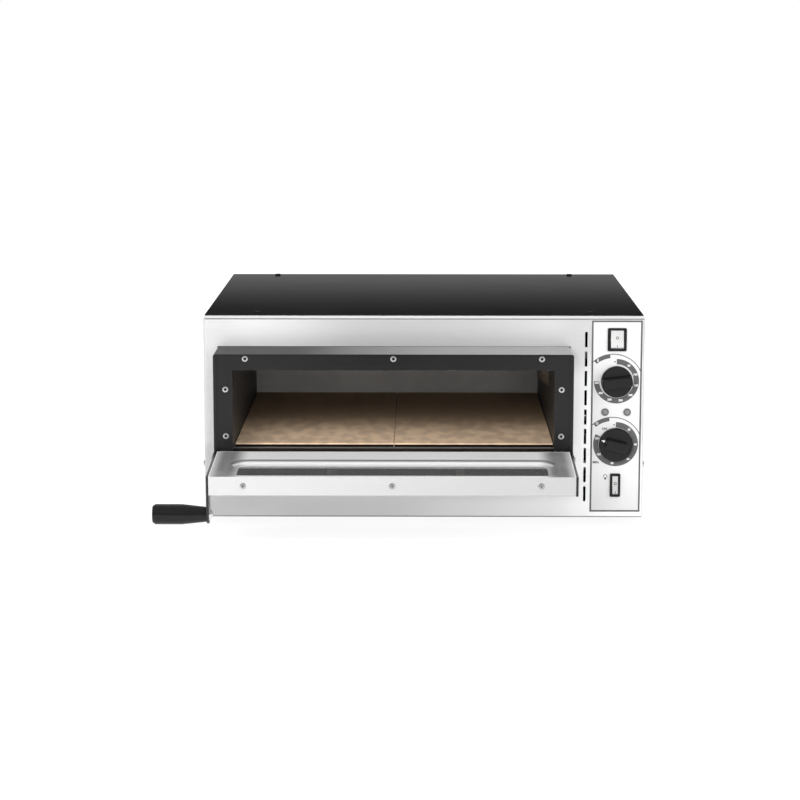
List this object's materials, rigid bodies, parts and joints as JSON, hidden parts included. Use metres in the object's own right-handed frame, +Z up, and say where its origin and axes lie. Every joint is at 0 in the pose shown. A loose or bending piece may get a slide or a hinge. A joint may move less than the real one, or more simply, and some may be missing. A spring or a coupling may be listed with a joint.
{
  "type": "electric pizza oven",
  "caption": "Counter-top electric pizza oven: steel cabinet with a stone-floored chamber, drop-down glazed door with side handle, and a column of dials and rockers.",
  "frame": {"origin": "middle of the open oven's footprint, at counter level under the rubber feet", "axes": "+Z up, +Y from the door towards the back, +X to the right of someone facing the door"},
  "size_m": [0.6068, 0.7173, 0.275],
  "materials": {
    "stainless": "fine level brushing, satin",
    "black_enamel": "semi-gloss black enamel",
    "galvanised": "galvanised sheet, dull",
    "chamber_steel": "dark heat-toned steel, satin",
    "fastener_steel": "bright plated",
    "baking_stone": "fired cordierite, matt, finely speckled",
    "mineral_wool": "pressed mineral wool",
    "clear_glass": "clear heat-proof glass",
    "dark_glass": "smoked heat-proof glass",
    "rubber": "matt black rubber",
    "black_plastic": "glossy black heat-proof plastic",
    "switch_black": "moulded black plastic",
    "rocker_grey": "pale grey moulded plastic",
    "overlay_print": "pale satin film with grey printing",
    "pilot_bezel": "dark grey moulded plastic",
    "pilot_lens": "clear smoky plastic, faceted",
    "heater_sheath": "dark oxidised metal sheath",
    "ceramic": "unglazed white steatite",
    "bush_bronze": "plain bronze",
    "wire_cover": "silicone rubber"
  },
  "bodies": {
    "cabinet": {"back_panel": "stainless", "base_pan": "galvanised", "cable_gland": "black_plastic", "casing_screws": "fastener_steel", "chamber_shell": "chamber_steel", "chamber_stands": "galvanised", "control_overlay": "overlay_print", "control_partition": "galvanised", "door_stops": "fastener_steel", "door_surround": "black_enamel", "foot_screws": "fastener_steel", "front_panel": "stainless", "heater_bushes": "ceramic", "heater_supports": "chamber_steel", "hinge_pins": "fastener_steel", "insulation_back": "mineral_wool", "insulation_base": "mineral_wool", "insulation_left": "mineral_wool", "insulation_right": "mineral_wool", "insulation_top": "mineral_wool", "lamp_bulb": "clear_glass", "lamp_cup": "chamber_steel", "lamp_glass": "clear_glass", "lamp_socket": "ceramic", "lamp_switch_housing": "switch_black", "left_side_panel": "stainless", "lower_heater": "heater_sheath", "main_switch_housing": "switch_black", "pilot_bezels": "pilot_bezel", "pilot_lenses": "pilot_lens", "right_side_panel": "stainless", "rubber_feet": "rubber", "stone_left": "baking_stone", "stone_right": "baking_stone", "stone_supports": "chamber_steel", "surround_screws": "fastener_steel", "terminal_block": "ceramic", "thermostat_body": "switch_black", "thermostat_probe": "heater_sheath", "timer_body": "switch_black", "top_cover": "black_enamel", "upper_heater": "heater_sheath", "wiring_loom": "wire_cover"},
    "door": {"door_outer_panel": "stainless", "door_inner_panel": "stainless", "door_glass": "dark_glass", "window_frame": "chamber_steel", "door_insulation": "mineral_wool", "door_screws": "fastener_steel", "handle_lever": "black_enamel", "right_hinge_plate": "black_enamel", "handle_grip": "black_plastic", "handle_bolt": "fastener_steel", "hinge_bushes": "bush_bronze"},
    "thermostat_dial": {"thermostat_shaft": "fastener_steel", "thermostat_knob": "black_plastic"},
    "timer_dial": {"timer_shaft": "fastener_steel", "timer_knob": "black_plastic"},
    "main_rocker": {"main_switch_rocker": "rocker_grey"},
    "lamp_rocker": {"lamp_switch_rocker": "rocker_grey"}
  },
  "joints": [
    {"name": "door_hinge", "type": "hinge", "parent": "cabinet", "child": "door", "pos_m": [-0.01665, -0.23461, 0.104], "axis": [-1, 0, 0], "range_deg": [0, 93]},
    {"name": "thermostat_turn", "type": "hinge", "parent": "cabinet", "child": "thermostat_dial", "pos_m": [0.26585, -0.15321, 0.19155], "axis": [0, -1, 0], "range_deg": [0, 270]},
    {"name": "timer_turn", "type": "hinge", "parent": "cabinet", "child": "timer_dial", "pos_m": [0.26585, -0.15321, 0.11038], "axis": [0, -1, 0], "range_deg": [-8, 325]},
    {"name": "main_switch_rock", "type": "hinge", "parent": "cabinet", "child": "main_rocker", "pos_m": [0.26585, -0.15321, 0.2451], "axis": [1, 0, 0], "range_deg": [0, 18]},
    {"name": "lamp_switch_rock", "type": "hinge", "parent": "cabinet", "child": "lamp_rocker", "pos_m": [0.26585, -0.15321, 0.0572], "axis": [1, 0, 0], "range_deg": [0, 18]}
  ]
}
